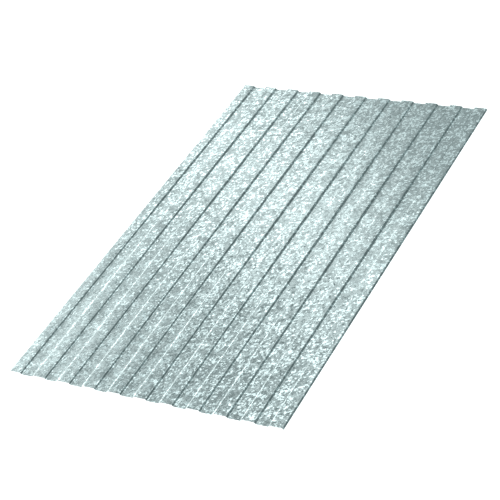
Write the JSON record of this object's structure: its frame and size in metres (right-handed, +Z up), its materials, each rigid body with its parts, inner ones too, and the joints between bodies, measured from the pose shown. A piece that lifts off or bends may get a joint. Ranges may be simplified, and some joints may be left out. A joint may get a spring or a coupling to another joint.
{
  "type": "corrugated metal sheet",
  "caption": "Shallow trapezoidal corrugated sheet of spangled galvanised steel for walls, fences and roofs, with one flat edge and one lipped edge that lap at the side.",
  "frame": {"origin": "middle of the sheet, on the plane that its valleys rest on", "axes": "+Y along the ribs, +X across them from the flat under-lapping edge to the lipped over-lapping edge, +Z up, towards the weather side"},
  "size_m": [1.2, 2, 0.0085],
  "materials": {
    "galvanised_steel": "hot-dip galvanised, spangled, satin, bare cut edges"
  },
  "bodies": {
    "root": {"corrugated_sheet": "galvanised_steel"}
  },
  "joints": []
}
